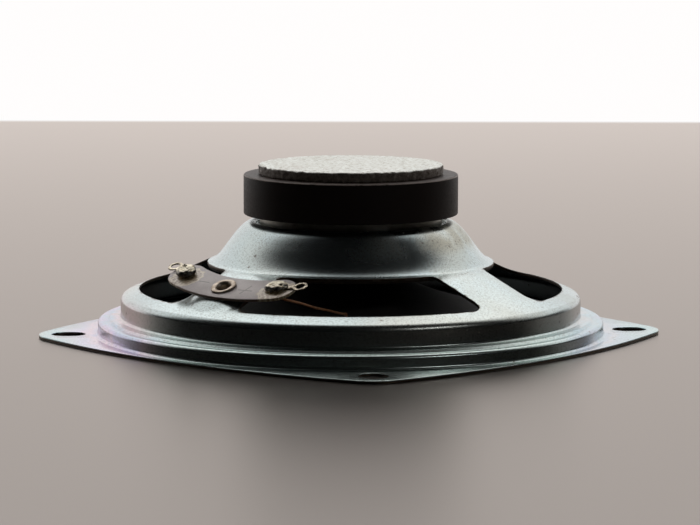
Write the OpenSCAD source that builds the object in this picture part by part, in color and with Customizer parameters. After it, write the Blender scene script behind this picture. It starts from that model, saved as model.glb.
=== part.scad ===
// Five inch loudspeaker driver, seen lying on its front: pressed steel basket, ferrite magnet,
// paper cone. Millimetres. Z = 0 is the front face of the mounting flange, +Z points to the back,
// the cone's axis is the Z axis, and the four ears of the flange point along +X, +Y, -X and -Y.

/* [Basket] */
// Thickness of the pressed steel sheet
steel_t = 0.8; // [0.6:0.1:1.2]
// Outer radius of the deep rim
rim_r = 59.3; // [56:0.1:66]
// Width of the ledge that runs round the rim
ledge_w = 3; // [2.4:0.1:4]
// Rise from the ring to the ledge
ledge_rise = 0.55; // [0.3:0.05:0.8]
// Width of the ring outside the ledge
ring_w = 2.9; // [2.4:0.1:4]
// Height of the ring's top
ring_z = 4.45; // [4:0.05:6]
// How far the middle of a flange side stands out from the ring
side_lip = 1.7; // [1.4:0.1:3]
// Rounding of an ear's tip
ear_round = 10.9; // [9:0.1:13]
// Height of the spider shelf, where the arms start
shelf_z = 19.3; // [18.4:0.1:21]
// Outer radius of the spider shelf
shelf_r = 37.9; // [37:0.1:39]
// Slope of the arms, from the shelf down to the rim, in degrees
arm_slope = 22.4; // [20:0.2:24]
// Height of the seat for the front plate
seat_z = 28.6; // [27.6:0.1:32]
// Hole in the middle of the basket, for the voice coil
throat_r = 13.5; // [12.5:0.1:15]

/* [Windows] */
// How far the windows cut into the spider shelf
shelf_cut = 1; // [0.5:0.1:1.5]
// Width of the rim's top left outside the windows
rim_band = 4.8; // [4.4:0.1:8]
// Width of an arm between two windows
arm_w = 18.6; // [14:0.2:24]
// Turn of the four windows about the axis, away from the ears, in degrees
window_turn = -1.3; // [-4:0.1:4]
// Rounding of a window's corners
window_round = 3.4; // [2:0.1:5]

/* [Mounting slots] */
// Metal between the ring's foot and a slot
slot_gap = 2.2; // [1:0.1:4]
// Width of a slot
slot_w = 7.2; // [4:0.1:8]
// Length of a slot, end to end, along the radius
slot_l = 8.8; // [8.2:0.1:10]
// Metal between a slot and the tip of its ear
ear_lip = 3.2; // [2:0.1:5]

/* [Magnet] */
// Radius of the ferrite ring
magnet_r = 27.6; // [26:0.1:31]
// Radius of the ferrite ring's hole
magnet_hole_r = 12.5; // [11.6:0.1:13.5]
// Thickness of the ferrite ring
magnet_t = 10.2; // [8:0.1:14]
// Radius of the front plate
plate_r = 23.5; // [22:0.1:23.9]
// Thickness of the front plate
plate_t = 3; // [2.6:0.1:4]
// How far the yoke's plate reaches past the front plate all round
yoke_over = 0.2; // [-1.5:0.1:2.1]
// Thickness of the yoke's plate
yoke_t = 2.6; // [2:0.1:4]
// Circle that the staked rivets stand on
stake_r = 18; // [17:0.1:20]
// Radius of a staked rivet's shank
stake_pin_r = 1.6; // [1.2:0.1:2]

/* [Voice coil] */
// Radius of the pole that the coil slides over
pole_r = 9.7; // [9:0.05:9.8]
// Free gap on each side of the coil
coil_gap = 0.25; // [0.2:0.05:0.4]
// Wall of the coil former
former_t = 0.2; // [0.15:0.05:0.25]
// Thickness of the two layers of wire
winding_t = 0.4; // [0.3:0.05:0.5]
// Height of the winding
winding_h = 6; // [4:0.5:8]

/* [Cone and suspension] */
// Free width between the cone's edge and the rim's outside
cone_gap = 7.3; // [6.8:0.1:8.5]
// Height of the cone's flat edge
cone_edge_z = 3.9; // [3.6:0.1:4.4]
// Height of the cone's neck on the former
neck_z = 16.8; // [15.5:0.1:17.4]
// Thickness of the cone's paper
cone_t = 0.35; // [0.3:0.05:0.5]
// Thickness of the surround's doped cloth
surround_t = 0.35; // [0.3:0.05:0.5]
// Waves pressed into the surround
surround_waves = 3; // [2:1:4]
// Height of the surround's waves, peak to mid line
surround_wave_h = 0.7; // [0.4:0.05:0.8]
// Thickness of the spider's cloth
spider_t = 0.4; // [0.3:0.05:0.6]
// Waves pressed into the spider
spider_waves = 6; // [4:1:8]
// Height of the spider's waves, peak to mid line
spider_wave_h = 0.8; // [0.4:0.1:1]
// Radius of the dust cap
cap_r = 14; // [13:0.1:16]
// Rise of the dust cap's dome
cap_rise = 4.6; // [3:0.1:6]
// How far the gasket's face lies behind the flange's face
gasket_step = 0.2; // [0.1:0.1:0.6]
// Open joint between two gasket quarters
gasket_joint = 1; // [0.6:0.1:2]

/* [Terminals] */
// Radius on the basket at which the terminal board is riveted
board_at_r = 47.5; // [45:0.1:48.5]
// Radius of the board's curved middle line
board_bend_r = 39.6; // [36:0.1:50]
// Angle from the board's middle to each of its round ends, in degrees
board_half = 22.3; // [18:0.1:23]
// Width of the board
board_w = 9.6; // [7.5:0.1:10]
// Thickness of the board
board_t = 0.8; // [0.6:0.1:1.2]
// Height of the pressed boss that lifts the board off the arm
boss_h = 1.15; // [0.9:0.05:1.6]
// Sideways lean of the riveted board, in degrees
board_lean = 2.3; // [0:0.1:4]
// Thickness of a solder lug
lug_t = 0.4; // [0.3:0.05:0.5]
// Outer radius of a lug's eye
lug_eye_r = 1.95; // [1.7:0.05:2.1]
// Radius of the hole in a lug's eye
lug_hole_r = 1.15; // [0.8:0.05:1.3]
// Distance from a lug's rivet to its eye
lug_reach = 6.2; // [5.6:0.1:7]
// Outer radius of the rolled eyelet that holds the board
eyelet_r = 3.25; // [2.8:0.05:3.6]
// Radius of that eyelet's barrel
eyelet_barrel_r = 2.1; // [1.8:0.05:2.3]
// Diameter of a tinsel lead
lead_d = 0.8; // [0.6:0.1:1]

/* [Hidden] */

$fn = 96;
fit = 0.03;             // glued or pressed pieces stand this far apart
touch = 0.01;           // overlap that joins two solids of one piece

// Radii that follow from the widths above
foot_round = 0.9;
ledge_r = rim_r + ledge_w;
ring_r = ledge_r + ring_w;
foot_r = ring_r + foot_round;
side_r = ring_r + side_lip;
slot_r = foot_r + slot_gap + slot_l / 2;
ear_r = slot_r + slot_l / 2 + ear_lip;
window_in_r = shelf_r - shelf_cut;
window_out_r = rim_r - rim_band;
cone_r = rim_r - cone_gap;
ledge_z = ring_z + ledge_rise;

// Points on an arc about c, from angle a0 to a1
function arc(c, r, a0, a1, n = 6) =
    [for (i = [0 : n]) let (a = a0 + (a1 - a0) * i / n) c + r * [cos(a), sin(a)]];

// One point of a cubic curve, and its direction there
function cubic(p, t) = p[0] * pow(1 - t, 3) + 3 * p[1] * t * pow(1 - t, 2)
    + 3 * p[2] * t * t * (1 - t) + p[3] * pow(t, 3);
function cubic_way(p, t) =
    unit((p[1] - p[0]) * pow(1 - t, 2) + 2 * (p[2] - p[1]) * t * (1 - t) + (p[3] - p[2]) * t * t);
function curve(p, n = 8) = [for (i = [0 : n]) cubic(p, i / n)];

function unit(v) = v / norm(v);
function left_of(v) = [-v[1], v[0]];
function flipped(list) = [for (i = [len(list) - 1 : -1 : 0]) list[i]];

// Points that follow each other too closely are dropped
function thinned(list) =
    [for (i = [0 : len(list) - 1]) if (i == 0 || norm(list[i] - list[i - 1]) > 0.02) list[i]];

// The path moved sideways by d, to the left of the way it runs
function beside(path, d) =
    [for (i = [0 : len(path) - 1])
        let (before = unit(path[max(i, 1)] - path[max(i, 1) - 1]),
             after = unit(path[min(i, len(path) - 2) + 1] - path[min(i, len(path) - 2)]),
             n1 = left_of(before),
             n2 = left_of(after))
        path[i] + d * (n1 + n2) / (1 + n1 * n2)];

// A sheet of thickness t whose one face is the path
function sheet(path, t) = let (p = thinned(path)) concat(p, flipped(beside(p, t)));

// A sheet of thickness t with the path in its middle
function felt(path, t) =
    let (p = thinned(path)) concat(beside(p, -t / 2), flipped(beside(p, t / 2)));

// Turned about the axis
module turned(points) {
    rotate_extrude($fn = 96) polygon(points);
}

// Basket
ring_round = 1;
rim_round = 2;
foot_lap = 0.3;
rim_foot = 0.8;
bead_top = seat_z + 1.15;
bead_round = 0.85;
seat_round = 0.3;
bead_r = plate_r + 0.95 + bead_round;
yoke_r = plate_r + yoke_over;
arm_out = [sin(arm_slope), cos(arm_slope)];
arm_level = [shelf_r, shelf_z] * arm_out;
rim_top = (arm_level - rim_round - (rim_r - rim_round) * arm_out[0]) / arm_out[1];

// Height of the arms' back face at a radius
function arm_z(r) = (arm_level - r * arm_out[0]) / arm_out[1];

// The housing over the spider swings from the shoulder bead down to the shelf
waist = [bead_r + 5.5, bead_top - (bead_top - shelf_z) * 0.43];
waist_way = unit([3.9, -5]);
housing_top = [[bead_r, bead_top], [bead_r + 2.1, bead_top - 0.15], waist - 2.9 * waist_way, waist];
housing_foot = [waist, waist + 2.6 * waist_way,
                [shelf_r - 3.6, shelf_z + 0.6], [shelf_r - 1.3, shelf_z]];

// Back face of the pressed sheet, from the flange to the throat
back_face = concat(
    [[foot_r + foot_lap, steel_t]],
    arc([foot_r, steel_t + foot_round], foot_round, 270, 180),
    arc([ring_r - ring_round, ring_z - ring_round], ring_round, 0, 90),
    [[ledge_r + 0.3, ring_z], [ledge_r - 0.3, ledge_z]],
    arc([rim_r + rim_foot, ledge_z + rim_foot], rim_foot, 270, 180),
    arc([rim_r - rim_round, rim_top], rim_round, 0, 90 - arm_slope),
    [[shelf_r, shelf_z]],
    flipped(curve(housing_foot, 10)),
    flipped(curve(housing_top, 10)),
    arc([bead_r, bead_top - bead_round], bead_round, 90, 180),
    arc([bead_r - bead_round - seat_round, seat_z + seat_round], seat_round, 0, -90, 3),
    [[throat_r, seat_z]]);

// Outline of the flange: four bulging sides that run into four round ears
ear_centre = ear_r - ear_round;
side_core = side_r - ear_round;
side_back = (ear_centre * ear_centre - side_core * side_core)
    / (2 * side_core - sqrt(2) * ear_centre);
side_bend = side_back + side_r;
side_turn = 45 - asin(ear_centre * sin(45) / (side_bend - ear_round));

module flange_outline() {
    polygon([for (q = [0 : 3])
        let (turn = q * 90,
             ear = ear_centre * [cos(turn), sin(turn)],
             side = -side_back * [cos(turn + 45), sin(turn + 45)],
             edge = 45 - side_turn)
        each concat(arc(ear, ear_round, turn - side_turn, turn + side_turn, 10),
                    arc(side, side_bend, turn + 45 - edge, turn + 45 + edge, 12))]);
}

module slots() {
    for (a = [0 : 90 : 270])
        rotate(a) for (end = [-1, 1])
            translate([slot_r + end * (slot_l - slot_w) / 2, 0]) circle(d = slot_w, $fn = 48);
    for (a = [0 : 90 : 270])
        rotate(a) translate([slot_r, 0]) square([slot_l - slot_w, slot_w], center = true);
}

// One window between two arms, drawn about the +X axis
module window_outline() {
    half = arm_w / 2;
    f = window_round;
    deep = half + f;
    far = sqrt(pow(window_out_r - f, 2) - deep * deep);
    near = sqrt(pow(window_in_r + f, 2) - deep * deep);
    // corners are drawn along an arm that runs on the diagonal, then turned to it
    function on_arm_side(p, s) = let (a = s * 45, q = [p[0], -s * p[1]])
        [q[0] * cos(a) - q[1] * sin(a), q[0] * sin(a) + q[1] * cos(a)];
    outer = arc([far, deep], f, 270, atan2(deep, far) + 360, 5);
    inner = arc([near, deep], f, atan2(deep, near) + 180, 270, 5);
    edge = flipped(concat(inner, outer));
    spread = 45 - atan2(deep, far);
    gap = 45 - atan2(deep, near);
    polygon(concat(
        [for (p = edge) on_arm_side(p, -1)],
        arc([0, 0], window_in_r, -gap, gap, 12),
        [for (p = flipped(edge)) on_arm_side(p, 1)],
        arc([0, 0], window_out_r, spread, -spread, 12)));
}

module windows() {
    for (a = [0 : 90 : 270])
        rotate(a + window_turn) translate([0, 0, ledge_z + 1])
            linear_extrude(seat_z - ledge_z) window_outline();
}

// Places on the arm that carries the terminal board: X along the board, Z off the arm
board_az = 225;
module on_arm() {
    rotate([0, 0, board_az - 270])
        translate([0, -board_at_r, arm_z(board_at_r)])
            rotate([arm_slope, 0, 0]) rotate([0, board_lean, 0]) children();
}

boss_r = 4.3;
boss_flare = 1.1;
boss_wall = 0.8;
boss_sink = 0.15;       // the boss's flare ends this far inside the sheet

module basket() {
    color("#c3cfcc") {
        difference() {
            union() {
                turned(sheet(back_face, steel_t));
                linear_extrude(steel_t) difference() {
                    flange_outline();
                    circle(r = foot_r + foot_lap / 3, $fn = 96);
                    slots();
                }
            }
            windows();
            on_arm() translate([0, 0, -3]) cylinder(r = boss_r - 0.2, h = 6, $fn = 48);
            stakes(stake_pin_r + fit, -steel_t - 1, steel_t + 2);
        }
        // boss pressed up from the arm, with the eyelet's hole
        on_arm() rotate_extrude($fn = 48) polygon([
            [eyelet_barrel_r + fit, boss_h], [boss_r - boss_flare + 0.4, boss_h],
            [boss_r, boss_h - 0.5], [boss_r + boss_flare, -boss_sink],
            [boss_r + boss_flare, -steel_t + 0.1], [boss_r - 0.3, -steel_t + 0.1],
            [boss_r - boss_flare + 0.2, boss_h - boss_wall],
            [eyelet_barrel_r + fit, boss_h - boss_wall]]);
    }
}

// Motor
magnet_z = seat_z + plate_t;
yoke_z = magnet_z + magnet_t;
coil_in_r = pole_r + coil_gap;
coil_out_r = coil_in_r + former_t + winding_t;
plate_hole_r = coil_out_r + coil_gap;
stake_deep = plate_t * 0.6;

module stakes(r, from, length) {
    for (a = [45 : 90 : 315])
        rotate(a) translate([stake_r, 0, seat_z + from]) cylinder(r = r, h = length, $fn = 32);
}

module front_plate() {
    c = 0.3;
    color("#b9bdb6") difference() {
        turned([[plate_hole_r, seat_z], [plate_r - c, seat_z], [plate_r, seat_z + c],
                [plate_r, magnet_z - c], [plate_r - c, magnet_z], [plate_hole_r, magnet_z]]);
        stakes(stake_pin_r + fit, -touch, stake_deep + touch);
    }
}

module magnet_ring() {
    c = 0.35;
    color("#1a1817") turned([
        [magnet_hole_r, magnet_z], [magnet_r - c, magnet_z], [magnet_r, magnet_z + c],
        [magnet_r, yoke_z - c], [magnet_r - c, yoke_z], [magnet_hole_r, yoke_z]]);
}

module t_yoke() {
    tip = seat_z - 1;
    edge = 0.6;
    root = 1.5;
    color("#c9ccc4") turned(concat(
        [[0, tip], [pole_r - 0.8, tip], [pole_r, tip + 0.8], [pole_r, yoke_z - root]],
        arc([pole_r + root, yoke_z - root], root, 180, 90),
        [[yoke_r - 0.2, yoke_z], [yoke_r, yoke_z + 0.2], [yoke_r, yoke_z + yoke_t - edge]],
        arc([yoke_r - edge, yoke_z + yoke_t - edge], edge, 0, 90),
        [[0, yoke_z + yoke_t]]));
}

module staked_rivets() {
    head = 0.9;
    under = -steel_t - head;
    color("#b9bdb6") for (a = [45 : 90 : 315])
        rotate(a) translate([stake_r, 0, seat_z]) rotate_extrude($fn = 32) polygon(concat(
            [[0, stake_deep - fit], [stake_pin_r, stake_deep - fit], [stake_pin_r, -steel_t],
             [stake_pin_r + 0.9, -steel_t]],
            arc([stake_pin_r, -steel_t], head, 0, -90, 5), [[0, under]]));
}

// Voice coil
cone_out_r = coil_in_r + former_t + fit + cone_t / 2;
winding_z = seat_z + plate_t / 2;

module coil_former() {
    bottom = neck_z - 1;
    top = winding_z + winding_h / 2 + 0.4;
    color("#b98e5c") turned([
        [coil_in_r, bottom], [coil_in_r + former_t, bottom],
        [coil_in_r + former_t, top], [coil_in_r, top]]);
}

module coil_winding() {
    r = coil_in_r + former_t;
    color("#b4622e") turned([
        [r + touch, winding_z - winding_h / 2], [coil_out_r, winding_z - winding_h / 2],
        [coil_out_r, winding_z + winding_h / 2], [r + touch, winding_z + winding_h / 2]]);
}

// Cone: a short neck on the former, a flared body, a flat edge
body_in = [cone_out_r + 0.8, neck_z - 0.7];
body_out = [cone_r - 2.2, cone_edge_z];
flare_in = [11, -6.4];
flare_out = [-14, 3];
body = [body_in, body_in + flare_in, body_out + flare_out, body_out];
cone_path = concat(
    [[cone_out_r, neck_z + 0.9], [cone_out_r, neck_z]],
    curve(body, 20),
    [[cone_r, cone_edge_z]]);

// Share of the body's curve at which the leads are fastened, and their angle from the arm
anchor_t = 0.55;
anchor = cubic(body, anchor_t);
anchor_way = cubic_way(body, anchor_t);
anchor_spread = 38.7;

// Places on the cone at a lead's fastening: Z off the cone's back face
module on_cone(side) {
    rotate([0, 0, board_az + side * anchor_spread])
        translate([anchor[0], 0, anchor[1]])
            rotate([0, -atan2(anchor_way[1], anchor_way[0]), 0]) children();
}

anchor_hole_r = 1;

module cone() {
    color("#2b2724") difference() {
        turned(felt(cone_path, cone_t));
        for (side = [-1, 1])
            on_cone(side) translate([0, 0, -1]) cylinder(r = anchor_hole_r, h = 2, $fn = 24);
    }
}

module dust_cap() {
    thick = 0.4;
    glue = 0.45;
    // the cap's edge rests on the cone's front face
    on_body = lookup(cap_r, curve(body, 40));
    edge_z = on_body - cone_t / 2 - fit - glue;
    bend = (cap_r * cap_r + cap_rise * cap_rise) / (2 * cap_rise);
    half = asin(cap_r / bend);
    color("#26221f") turned(concat(
        arc([0, edge_z - cap_rise + bend], bend, -90, -90 + half, 16),
        flipped(arc([0, edge_z - cap_rise + bend], bend - thick, -90, -90 + half, 16))));
}

// Surround: an inner lip under the cone's edge, waves, and a lip against the ring
lip_gap = 0.4;
surround_z = ring_z - steel_t - surround_t / 2;
surround_in_z = cone_edge_z - cone_t / 2 - fit - surround_t / 2;
wave_from = cone_r + 0.4;
wave_to = rim_r + 0.9;
wave_n = 10 * surround_waves;

module surround() {
    lip_r = ring_r - steel_t - lip_gap;
    color("#1d1b1a") turned(felt(concat(
        [[cone_r - 1.6, surround_in_z], [cone_r, surround_in_z]],
        [for (i = [0 : wave_n])
            let (s = i / wave_n,
                 mid = surround_in_z + (surround_z - surround_in_z) * s)
            [wave_from + (wave_to - wave_from) * s,
             mid - surround_wave_h * sin(360 * surround_waves * s)
                 * min(1, 4 * s, 4 * (1 - s))]],
        [[ledge_r - 0.6, surround_z], [lip_r, surround_z]]), surround_t));
}

// Spider: a collar on the former, waves, and a lip against the shelf
spider_z = shelf_z - steel_t - spider_t / 2;
spider_out_r = window_in_r - 0.2;

module spider() {
    start = cone_out_r + 2.2;
    stop = shelf_r - 3.4;
    steps = 10 * spider_waves;
    color("#c9a463") turned(felt(concat(
        [[cone_out_r + 0.03, spider_z + 1.1], [cone_out_r + 0.03, spider_z + 0.3],
         [cone_out_r + 0.4, spider_z]],
        [for (i = [0 : steps])
            let (s = i / steps)
            [start + (stop - start) * s,
             spider_z - spider_wave_h * sin(360 * spider_waves * s)
                 * min(1, 8 * s, 8 * (1 - s))]],
        [[spider_out_r, spider_z]]), spider_t));
}

// Gasket: four pressed card quarters in the ring's recess, over the surround's lip
module front_gasket() {
    out_r = ring_r - steel_t - lip_gap;
    in_r = rim_r + 1.2;
    top = surround_z - surround_t / 2 - fit;
    color("#8f8574") difference() {
        translate([0, 0, gasket_step]) linear_extrude(top - gasket_step) difference() {
            circle(r = out_r);
            circle(r = in_r);
        }
        for (a = [0, 90])
            rotate(a) cube([4 * ear_r, gasket_joint, 4 * ring_z], center = true);
    }
}

// Terminal board
board_z = boss_h + fit;
board_top = board_z + board_t;

module at_lug(side) {
    translate([0, board_bend_r, 0]) rotate([0, 0, side * board_half])
        translate([0, -board_bend_r, 0]) children();
}

module terminal_board() {
    color("#7d6a63") on_arm() translate([0, 0, board_z]) linear_extrude(board_t) difference() {
        union() {
            translate([0, board_bend_r]) intersection() {
                difference() {
                    circle(r = board_bend_r + board_w / 2, $fn = 192);
                    circle(r = board_bend_r - board_w / 2, $fn = 192);
                }
                polygon([[0, 0], 2 * board_bend_r * [-sin(board_half), -cos(board_half)],
                         2 * board_bend_r * [sin(board_half), -cos(board_half)]]);
            }
            for (side = [-1, 1]) at_lug(side) circle(d = board_w, $fn = 48);
        }
        circle(r = eyelet_barrel_r + fit, $fn = 32);
        for (side = [-1, 1]) at_lug(side) circle(r = rivet_r + fit, $fn = 24);
    }
}

// Rolled eyelet through the board and the boss
module board_eyelet() {
    wall = 0.45;
    roll = 0.5;
    bottom = boss_h - boss_wall;
    in_r = eyelet_barrel_r - wall;
    color("#d8d2c0") on_arm() rotate_extrude($fn = 48) polygon(concat(
        [[in_r, bottom - 0.5], [eyelet_barrel_r + 0.7, bottom - 0.5],
         [eyelet_barrel_r + 0.7, bottom - 0.1], [eyelet_barrel_r, bottom - fit],
         [eyelet_barrel_r, board_top + fit], [eyelet_r, board_top + fit]],
        arc([eyelet_r - roll, board_top + fit + 0.1], roll, 0, 90, 5),
        [[in_r + 0.7, board_top + fit + 0.5], [in_r, board_top - 0.1]]));
}

// Solder lugs: a pad under a rivet, a neck and an open eye
rivet_r = 1;
rivet_foot = 0.4;
pad_r = 2.2;
neck_w = 1.7;

module solder_lug(side) {
    color("#cfc9b8") on_arm() at_lug(side) translate([0, 0, board_top + fit])
        linear_extrude(lug_t) difference() {
            union() {
                circle(r = pad_r, $fn = 48);
                translate([side * lug_reach, 0]) circle(r = lug_eye_r, $fn = 48);
                translate([side * (lug_reach - 1) / 2, 0])
                    square([lug_reach - 1, neck_w], center = true);
            }
            circle(r = rivet_r + fit, $fn = 24);
            translate([side * lug_reach, 0]) circle(r = lug_hole_r, $fn = 32);
        }
}

module solder_lug_plus() {
    solder_lug(1);
}

module solder_lug_minus() {
    solder_lug(-1);
}

// Hollow rivets that hold the lugs; the leads come out of them under the board
module lug_rivets() {
    wall = 0.3;
    top = board_top + fit + lug_t;
    color("#d8d2c0") for (side = [-1, 1]) on_arm() at_lug(side) rotate_extrude($fn = 32) polygon([
        [rivet_r - wall, board_z - rivet_foot], [rivet_r + 0.6, board_z - rivet_foot],
        [rivet_r + 0.6, board_z - fit], [rivet_r, board_z - fit], [rivet_r, top + fit],
        [rivet_r + 0.5, top + fit], [rivet_r + 0.5, top + 0.3], [rivet_r - wall, top + 0.3]]);
}

// A cold mound of solder over each rivet
module solder_joint(side) {
    r = 2.6;
    h = 2.2;
    base = board_top + 2 * fit + lug_t;
    roof = [[rivet_r + 0.6, 0.36], [r, 0.02]];
    color("#a9a596") on_arm() at_lug(side) translate([0, 0, base]) rotate_extrude($fn = 32)
        polygon(concat([[0, 0.36]], roof,
            curve([[r, 0.3], [r * 0.86, h * 0.62], [r * 0.5, h], [0, h]], 7)));
}

module solder_joint_plus() {
    solder_joint(1);
}

module solder_joint_minus() {
    solder_joint(-1);
}

// Tinsel leads: a loose span from a lug's rivet, under the board, down to the cone.
// The free points are for the plus lead; the minus lead's are their mirror image about the arm.
lead_run = [[-20.2, -41.4, 15.3], [-18.7, -41.2, 14.75], [-15.4, -40.2, 13.8], [-11.9, -38.6, 12.5],
            [-8.5, -36.6, 11.5], [-5.4, -34.4, 10.45], [-4.1, -32.8, 10]];

// A place on a lug, as on_arm() at_lug() gives it
function spun(v, a) = [v[0] * cos(a) - v[1] * sin(a), v[0] * sin(a) + v[1] * cos(a)];
function lug_place(side, p) =
    let (q = spun([p[0], p[1] - board_bend_r], side * board_half),
         x = q[0],
         y = q[1] + board_bend_r,
         leaned = spun([p[2], x], board_lean),
         tilted = spun([y, leaned[0]], arm_slope),
         flat = spun([leaned[1], tilted[0] - board_at_r], board_az - 270))
    [flat[0], flat[1], tilted[1] + arm_z(board_at_r)];

// The other side of the arm
function across_arm(p) =
    let (q = spun([p[0], p[1]], -board_az), m = spun([q[0], -q[1]], board_az)) [m[0], m[1], p[2]];

// A place over a cone eyelet, as on_cone() gives it
function cone_place(side, h) =
    let (r = anchor[0] - h * anchor_way[1],
         flat = spun([r, 0], board_az + side * anchor_spread))
    [flat[0], flat[1], anchor[1] + h * anchor_way[0]];

function lead_points(side) = concat(
    [for (h = [rivet_foot + fit, 1.2]) lug_place(side, [0, 0, board_z - h])],
    [for (p = lead_run) side > 0 ? p : across_arm(p)],
    [for (h = [1.7, 0.9]) cone_place(side, h)]);

// A smooth line through points, with two steps between each pair
function smooth(points) =
    let (last = len(points) - 1)
    [for (i = [0 : last - 1], t = [0, 0.5])
        let (a = points[max(i - 1, 0)], b = points[i], c = points[i + 1],
             d = points[min(i + 2, last)])
        b + (c - a) * t / 2 + (2 * a - 5 * b + 4 * c - d) * t * t / 2
            + (3 * b - a - 3 * c + d) * t * t * t / 2,
     points[last]];

// A round tube of 8 sides swept along points, closed at both ends
module tube(points, d) {
    sides = 8;
    last = len(points) - 1;
    rings = [for (i = [0 : last])
        let (way = unit(points[min(i + 1, last)] - points[max(i - 1, 0)]),
             across = unit(cross(way, [0.31, 0.17, 0.93])),
             up = cross(across, way))
        for (k = [0 : sides - 1])
            points[i] + d / 2 * (across * cos(k * 360 / sides) + up * sin(k * 360 / sides))];
    walls = [for (i = [0 : last - 1], k = [0 : sides - 1])
        let (a = i * sides + k, b = i * sides + (k + 1) % sides)
        [a, b, b + sides, a + sides]];
    polyhedron(rings, concat(walls,
        [[for (k = [sides - 1 : -1 : 0]) k]],
        [[for (k = [0 : sides - 1]) last * sides + k]]));
}

module tinsel_lead_plus() {
    color("#a5683c") tube(smooth(lead_points(1)), lead_d);
}

module tinsel_lead_minus() {
    color("#a5683c") tube(smooth(lead_points(-1)), lead_d);
}

// Eyelets clinched through the cone for the leads
clinch = 0.3;

module cone_eyelets() {
    in_r = 0.72;
    flange = 1.7;
    edge = cone_t / 2 + fit;
    color("#c8a85a") for (side = [-1, 1]) on_cone(side) rotate_extrude($fn = 24) polygon([
        [in_r, -edge - clinch], [flange, -edge - clinch], [flange, -edge],
        [anchor_hole_r - fit, -edge], [anchor_hole_r - fit, edge], [flange, edge],
        [flange, edge + clinch], [in_r, edge + clinch]]);
}

// Solder on the front of each cone eyelet, where the coil's tail meets the lead
module cone_solder_joints() {
    base = -cone_t / 2 - 2 * fit - clinch;
    color("#a9a596") for (side = [-1, 1]) on_cone(side) translate([0, 0, base])
        rotate([180, 0, 0]) rotate_extrude($fn = 24)
            polygon(concat([[0, 0], [1.6, 0]], curve([[1.6, 0.1], [1.4, 0.8], [0.8, 1], [0, 1]], 5)));
}

// Fine wires on the cone's front face, from the dust cap to the eyelets
tail_d = 0.4;
tail_steps = 7;
tail_from = 0.13;

module coil_tails() {
    stop = anchor_t - 0.05;
    color("#8a3d1e") for (side = [-1, 1])
        rotate([0, 0, board_az + side * anchor_spread])
            tube([for (i = [0 : tail_steps])
                let (t = tail_from + (stop - tail_from) * i / tail_steps,
                     way = cubic_way(body, t),
                     p = cubic(body, t) - left_of(way) * (cone_t / 2 + tail_d / 2 + fit))
                [p[0], 0, p[1]]], tail_d);
}

basket();
front_plate();
magnet_ring();
t_yoke();
staked_rivets();
front_gasket();
terminal_board();
board_eyelet();
solder_lug_plus();
solder_lug_minus();
lug_rivets();
solder_joint_plus();
solder_joint_minus();
tinsel_lead_plus();
tinsel_lead_minus();
surround();
spider();
cone();
dust_cap();
coil_former();
coil_winding();
cone_eyelets();
cone_solder_joints();
coil_tails();
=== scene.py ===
import math

import bmesh
import bpy
from mathutils import Matrix, Vector, noise


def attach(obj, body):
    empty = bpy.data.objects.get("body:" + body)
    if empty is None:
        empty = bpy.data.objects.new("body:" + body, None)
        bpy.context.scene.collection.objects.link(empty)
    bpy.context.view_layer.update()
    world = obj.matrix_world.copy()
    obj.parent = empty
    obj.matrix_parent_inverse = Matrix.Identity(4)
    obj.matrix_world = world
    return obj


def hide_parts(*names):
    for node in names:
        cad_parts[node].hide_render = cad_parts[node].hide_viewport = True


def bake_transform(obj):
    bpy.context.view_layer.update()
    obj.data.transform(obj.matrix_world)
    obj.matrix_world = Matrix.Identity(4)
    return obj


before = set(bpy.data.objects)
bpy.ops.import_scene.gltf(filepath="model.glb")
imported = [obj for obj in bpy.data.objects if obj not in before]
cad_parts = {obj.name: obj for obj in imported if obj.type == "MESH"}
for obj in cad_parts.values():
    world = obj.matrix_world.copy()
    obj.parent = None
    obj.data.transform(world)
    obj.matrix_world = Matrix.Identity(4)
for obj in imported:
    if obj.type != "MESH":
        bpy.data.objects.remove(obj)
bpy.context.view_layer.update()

# Sizes in millimetres, the same as the CAD's. Z runs from the flange's front face to the back.
MM = 0.001
STEEL = 0.8
FIT = 0.03
RIM_R = 59.3
LEDGE_R = 62.3
RING_R = 65.2
RING_Z = 4.45
LEDGE_Z = 5.0
SIDE_R = 66.9
EAR_R = 80.3
EAR_ROUND = 10.9
SHELF_Z = 19.3
SHELF_R = 37.9
ARM_SLOPE = 22.4
SEAT_Z = 28.6
THROAT_R = 13.5
WINDOW_IN_R = 36.9
WINDOW_OUT_R = 54.5
WINDOW_TURN = -1.3
ARM_W = 18.6
WINDOW_ROUND = 3.4
SLOT_R = 72.7
SLOT_W = 7.2
SLOT_L = 8.8
MAGNET_R = 27.6
MAGNET_HOLE_R = 12.5
PLATE_R = 23.5
MAGNET_Z = 31.6
YOKE_Z = 41.8
YOKE_R = 23.7
YOKE_T = 2.6
POLE_R = 9.7
CONE_R = 52.0
CONE_EDGE_Z = 3.9
NECK_Z = 16.8
CONE_T = 0.35
FORMER_R = 10.15
CAP_R = 14.0
CAP_RISE = 4.6
BOARD_AT_R = 47.5
BOARD_BEND_R = 39.6
BOARD_HALF = 22.3
BOARD_W = 9.6
BOARD_T = 0.8
BOSS_H = 1.15
BOARD_LEAN = 2.3
BOARD_AZ = 225.0
LUG_T = 0.4
LUG_EYE_R = 1.95
LUG_HOLE_R = 1.15
LUG_REACH = 6.2
RIVET_R = 1.0
PAD_R = 2.2
NECK_W = 1.7
EYELET_R = 3.25
BARREL_R = 2.1
BOARD_Z = BOSS_H + FIT
BOARD_TOP = BOARD_Z + BOARD_T
QUARTERS = (0, 90, 180, 270)
SIDES = ((1, "plus"), (-1, "minus"))
WIRE_PITCH = 0.22


# ---- plain profile drawing, in millimetres ----

def polar(radius, degrees, centre=(0, 0)):
    a = math.radians(degrees)
    return centre[0] + radius * math.cos(a), centre[1] + radius * math.sin(a)


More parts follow.
